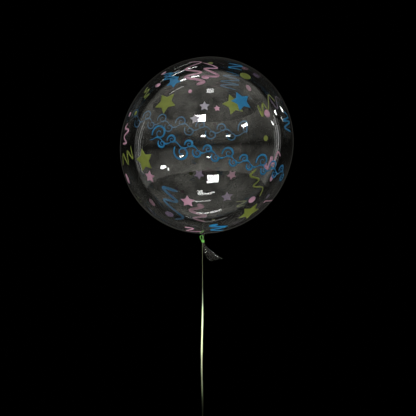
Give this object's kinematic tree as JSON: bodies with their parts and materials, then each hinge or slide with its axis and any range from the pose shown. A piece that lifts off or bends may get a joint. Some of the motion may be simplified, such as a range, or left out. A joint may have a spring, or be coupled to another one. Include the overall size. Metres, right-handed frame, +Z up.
{
  "type": "printed clear bubble balloon",
  "caption": "Clear stretched-film bubble balloon with printed stars, dots and streamers, tied at its gathered neck to a flat curling ribbon that ends in a small loop.",
  "frame": {"origin": "inside the small loop that ends the ribbon, on the inner side of its lowest turn, where a hook or a weight holds it", "axes": "+Z up along the ribbon to the balloon's crown, -Y to the front of the print, +X to the side that the tail points to"},
  "size_m": [0.5584, 0.5578, 1.184],
  "materials": {
    "film": "clear stretched film, high gloss",
    "ribbon": "yellow-green satin curling ribbon with fine lengthwise ribs",
    "ink_blue": "printed blue ink",
    "ink_pink": "printed pink ink",
    "ink_lime": "printed lime ink",
    "ink_lilac": "printed lilac ink"
  },
  "bodies": {
    "root": {"balloon": "film", "ribbon_tie": "ribbon", "ribbon": "ribbon", "ribbon_end_loop": "ribbon"}
  },
  "joints": []
}
